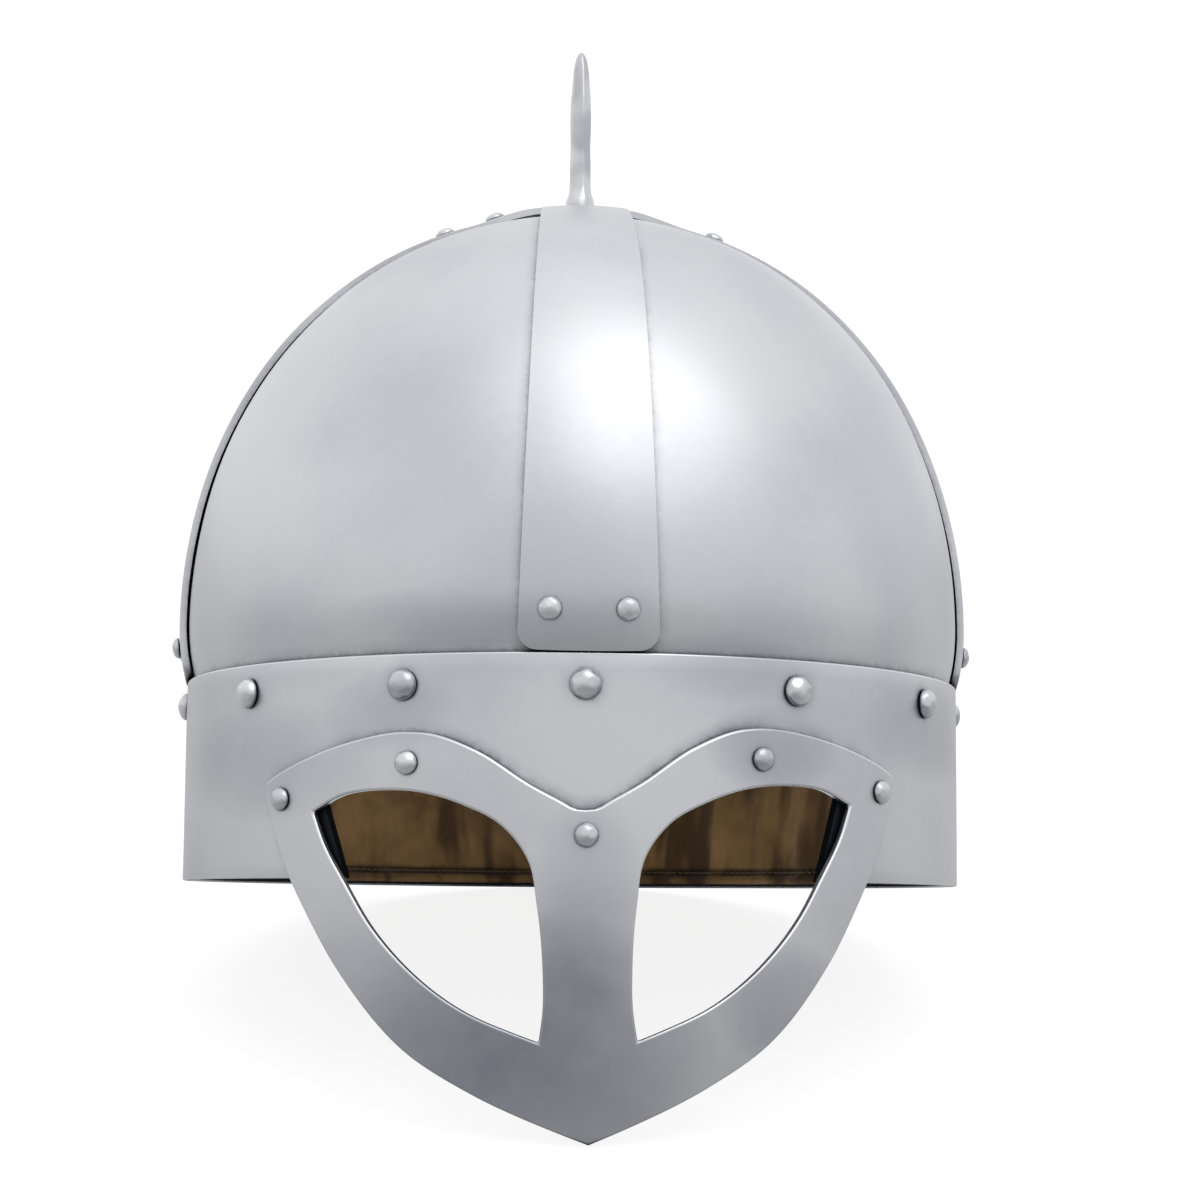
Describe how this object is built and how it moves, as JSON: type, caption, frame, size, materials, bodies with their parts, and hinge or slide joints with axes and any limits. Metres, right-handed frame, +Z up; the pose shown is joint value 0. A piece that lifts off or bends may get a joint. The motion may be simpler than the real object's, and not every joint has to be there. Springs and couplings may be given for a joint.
{
  "type": "spectacle helmet",
  "caption": "Riveted steel helmet: domed skull of plates under crossed straps, brow band, spectacle face guard, crown spike and leather lining.",
  "frame": {"origin": "on the floor under the middle of the bounding box, with the helmet resting by itself, tilted back on the face guard's tip and the back of the rim", "axes": "+Z up, -Y the way the face looks, +X to the viewer's right when the face is seen"},
  "size_m": [0.2168, 0.257, 0.2549],
  "materials": {
    "steel": "satin, finely brushed, with dark grime in the seams",
    "rivet_steel": "satin, hammered dome heads",
    "leather": "matt brown suede"
  },
  "bodies": {
    "root": {"band_rivet_back": "rivet_steel", "band_rivet_back_left_inner": "rivet_steel", "band_rivet_back_left_outer": "rivet_steel", "band_rivet_back_right_inner": "rivet_steel", "band_rivet_back_right_outer": "rivet_steel", "band_rivet_front": "rivet_steel", "band_rivet_front_left_inner": "rivet_steel", "band_rivet_front_left_outer": "rivet_steel", "band_rivet_front_right_inner": "rivet_steel", "band_rivet_front_right_outer": "rivet_steel", "band_rivet_side_left": "rivet_steel", "band_rivet_side_right": "rivet_steel", "brow_band": "steel", "crest_strap": "steel", "crown_rivet_left_inner": "rivet_steel", "crown_rivet_left_outer": "rivet_steel", "crown_rivet_right_inner": "rivet_steel", "crown_rivet_right_outer": "rivet_steel", "face_guard": "steel", "guard_rivet_left_brow": "rivet_steel", "guard_rivet_left_outer": "rivet_steel", "guard_rivet_nose": "rivet_steel", "guard_rivet_right_brow": "rivet_steel", "guard_rivet_right_outer": "rivet_steel", "lining": "leather", "plate_back_left": "steel", "plate_back_right": "steel", "plate_front_left": "steel", "plate_front_right": "steel", "side_strap": "steel", "spike": "steel", "strap_rivet_back_a": "rivet_steel", "strap_rivet_back_b": "rivet_steel", "strap_rivet_front_a": "rivet_steel", "strap_rivet_front_b": "rivet_steel", "strap_rivet_left_a": "rivet_steel", "strap_rivet_left_b": "rivet_steel", "strap_rivet_right_a": "rivet_steel", "strap_rivet_right_b": "rivet_steel"}
  },
  "joints": []
}
